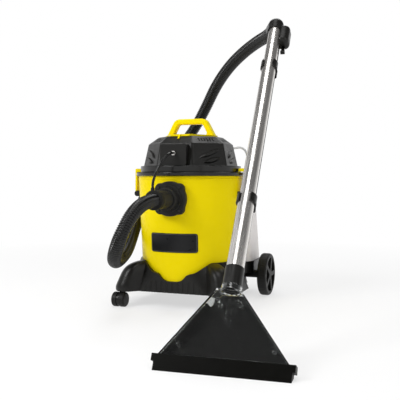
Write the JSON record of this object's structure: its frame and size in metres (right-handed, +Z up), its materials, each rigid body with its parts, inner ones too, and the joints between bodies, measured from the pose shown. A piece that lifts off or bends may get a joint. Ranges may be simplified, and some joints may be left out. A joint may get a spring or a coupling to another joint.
{
  "type": "carpet cleaner machine",
  "caption": "Spray-extraction carpet cleaner: round tub with lift-off motor head, clean-water tank, ribbed suction hose and a floor wand with a clear nozzle.",
  "frame": {"origin": "on the floor, under the axis of the tub", "axes": "+Z up; the front of the machine, with the suction inlet, looks along -Y; +X is its right side as seen from the front"},
  "size_m": [0.6851, 0.9759, 0.8185],
  "materials": {
    "yellow_gloss": "gloss",
    "black_plastic": "satin",
    "black_hose": "satin",
    "chrome": "polished",
    "clear_plastic": "clear",
    "tank_plastic": "translucent",
    "steel": "brushed",
    "label": "gloss",
    "grey_plastic": "satin",
    "brass": "polished",
    "red_plastic": "gloss"
  },
  "bodies": {
    "machine": {"tub": "yellow_gloss", "rim_band": "black_plastic", "label_plate": "label", "chassis": "black_plastic", "rear_axle": "steel", "latch_brackets": "black_plastic", "inlet_flange": "black_plastic", "inlet_screws": "black_plastic", "hose_cuff": "black_plastic", "solution_port": "black_plastic", "suction_hose": "black_hose", "solution_line": "black_hose", "tank": "tank_plastic"},
    "lock_ring": {"lock_ring": "black_plastic"},
    "head": {"head_base": "black_plastic", "head_seal": "black_hose", "head_cover": "black_plastic", "front_panel": "black_plastic", "carry_handle": "yellow_gloss", "head_screws": "steel", "motor_can": "steel", "fan_housing": "steel", "float_cage": "grey_plastic", "solution_pump": "grey_plastic", "hose_nipple": "chrome", "link_hose": "black_hose", "link_connector": "brass", "pickup_tube": "clear_plastic", "dip_tube": "grey_plastic", "cable_gland": "black_plastic"},
    "fan_rotor": {"motor_rotor": "steel", "suction_fan": "steel"},
    "float": {"float": "grey_plastic"},
    "vacuum_switch": {"vacuum_switch": "red_plastic"},
    "pump_switch": {"pump_switch": "red_plastic"},
    "latch_left": {"latch_left": "yellow_gloss"},
    "latch_right": {"latch_right": "yellow_gloss"},
    "rear_wheel_left": {"rear_wheel_left": "black_plastic"},
    "rear_wheel_right": {"rear_wheel_right": "black_plastic"},
    "caster_left": {"caster_fork_left": "black_plastic"},
    "caster_right": {"caster_fork_right": "black_plastic"},
    "caster_wheels_left": {"caster_wheels_left": "black_plastic"},
    "caster_wheels_right": {"caster_wheels_right": "black_plastic"},
    "tank_cap": {"tank_cap": "black_plastic"},
    "wand": {"nozzle_lip": "black_plastic", "nozzle_cover": "clear_plastic", "nozzle_back": "black_plastic", "nozzle_screws": "steel", "spray_jet": "brass", "wand_spray_line": "black_hose", "wand_collar": "black_plastic", "lower_tube": "chrome", "main_tube": "chrome", "upper_tube": "chrome", "tube_clips": "black_plastic", "wand_elbow": "black_plastic", "valve_housing": "black_plastic", "trigger_pin": "steel"},
    "trigger": {"trigger": "black_plastic"}
  },
  "joints": [
    {"name": "head_lift", "type": "slide", "parent": "machine", "child": "head", "axis": [0, 0, 1], "range_m": [0, 0.25]},
    {"name": "fan_spin", "type": "hinge", "parent": "head", "child": "fan_rotor", "pos_m": [0, 0, 0.45], "axis": [0, 0, 1], "continuous": true},
    {"name": "float_rise", "type": "slide", "parent": "head", "child": "float", "axis": [0, 0, 1], "range_m": [0, 0.05]},
    {"name": "vacuum_switch_rock", "type": "hinge", "parent": "head", "child": "vacuum_switch", "pos_m": [0.028, 0.052, 0.498], "axis": [1, 0, 0], "range_deg": [0, 12]},
    {"name": "pump_switch_rock", "type": "hinge", "parent": "head", "child": "pump_switch", "pos_m": [-0.028, 0.052, 0.498], "axis": [1, 0, 0], "range_deg": [0, 12]},
    {"name": "latch_left_open", "type": "hinge", "parent": "machine", "child": "latch_left", "pos_m": [-0.17367, 0, 0.33], "axis": [0, -1, 0], "range_deg": [0, 60]},
    {"name": "latch_right_open", "type": "hinge", "parent": "machine", "child": "latch_right", "pos_m": [0.17367, 0, 0.33], "axis": [0, 1, 0], "range_deg": [0, 60]},
    {"name": "lock_ring_turn", "type": "hinge", "parent": "machine", "child": "lock_ring", "pos_m": [0, -0.194, 0.3195], "axis": [0, 1, 0], "range_deg": [0, 35]},
    {"name": "rear_wheel_left_spin", "type": "hinge", "parent": "machine", "child": "rear_wheel_left", "pos_m": [-0.201, 0.158, 0.067], "axis": [1, 0, 0], "continuous": true},
    {"name": "rear_wheel_right_spin", "type": "hinge", "parent": "machine", "child": "rear_wheel_right", "pos_m": [0.201, 0.158, 0.067], "axis": [1, 0, 0], "continuous": true},
    {"name": "caster_left_swivel", "type": "hinge", "parent": "machine", "child": "caster_left", "pos_m": [-0.158, -0.1575, 0.045], "axis": [0, 0, 1], "continuous": true},
    {"name": "caster_right_swivel", "type": "hinge", "parent": "machine", "child": "caster_right", "pos_m": [0.158, -0.1575, 0.045], "axis": [0, 0, 1], "continuous": true},
    {"name": "caster_wheels_left_spin", "type": "hinge", "parent": "caster_left", "child": "caster_wheels_left", "pos_m": [-0.158, -0.1735, 0.0215], "axis": [1, 0, 0], "continuous": true},
    {"name": "caster_wheels_right_spin", "type": "hinge", "parent": "caster_right", "child": "caster_wheels_right", "pos_m": [0.158, -0.1735, 0.0215], "axis": [1, 0, 0], "continuous": true},
    {"name": "tank_cap_lift", "type": "slide", "parent": "machine", "child": "tank_cap", "axis": [0, 0, 1], "range_m": [0, 0.06]},
    {"name": "wand_tilt", "type": "hinge", "parent": "machine", "child": "wand", "pos_m": [0.3245, -0.689, 0], "axis": [-0.9986, -0.0523, 0], "range_deg": [-10, 15], "deforming": ["suction_hose", "solution_line"]},
    {"name": "trigger_pull", "type": "hinge", "parent": "wand", "child": "trigger", "pos_m": [0.31927, -0.13068, 0.73848], "axis": [-0.9986, -0.0523, 0], "range_deg": [0, 10], "stiffness_Nm_per_rad": 0.3, "springref_deg": -5.73}
  ]
}
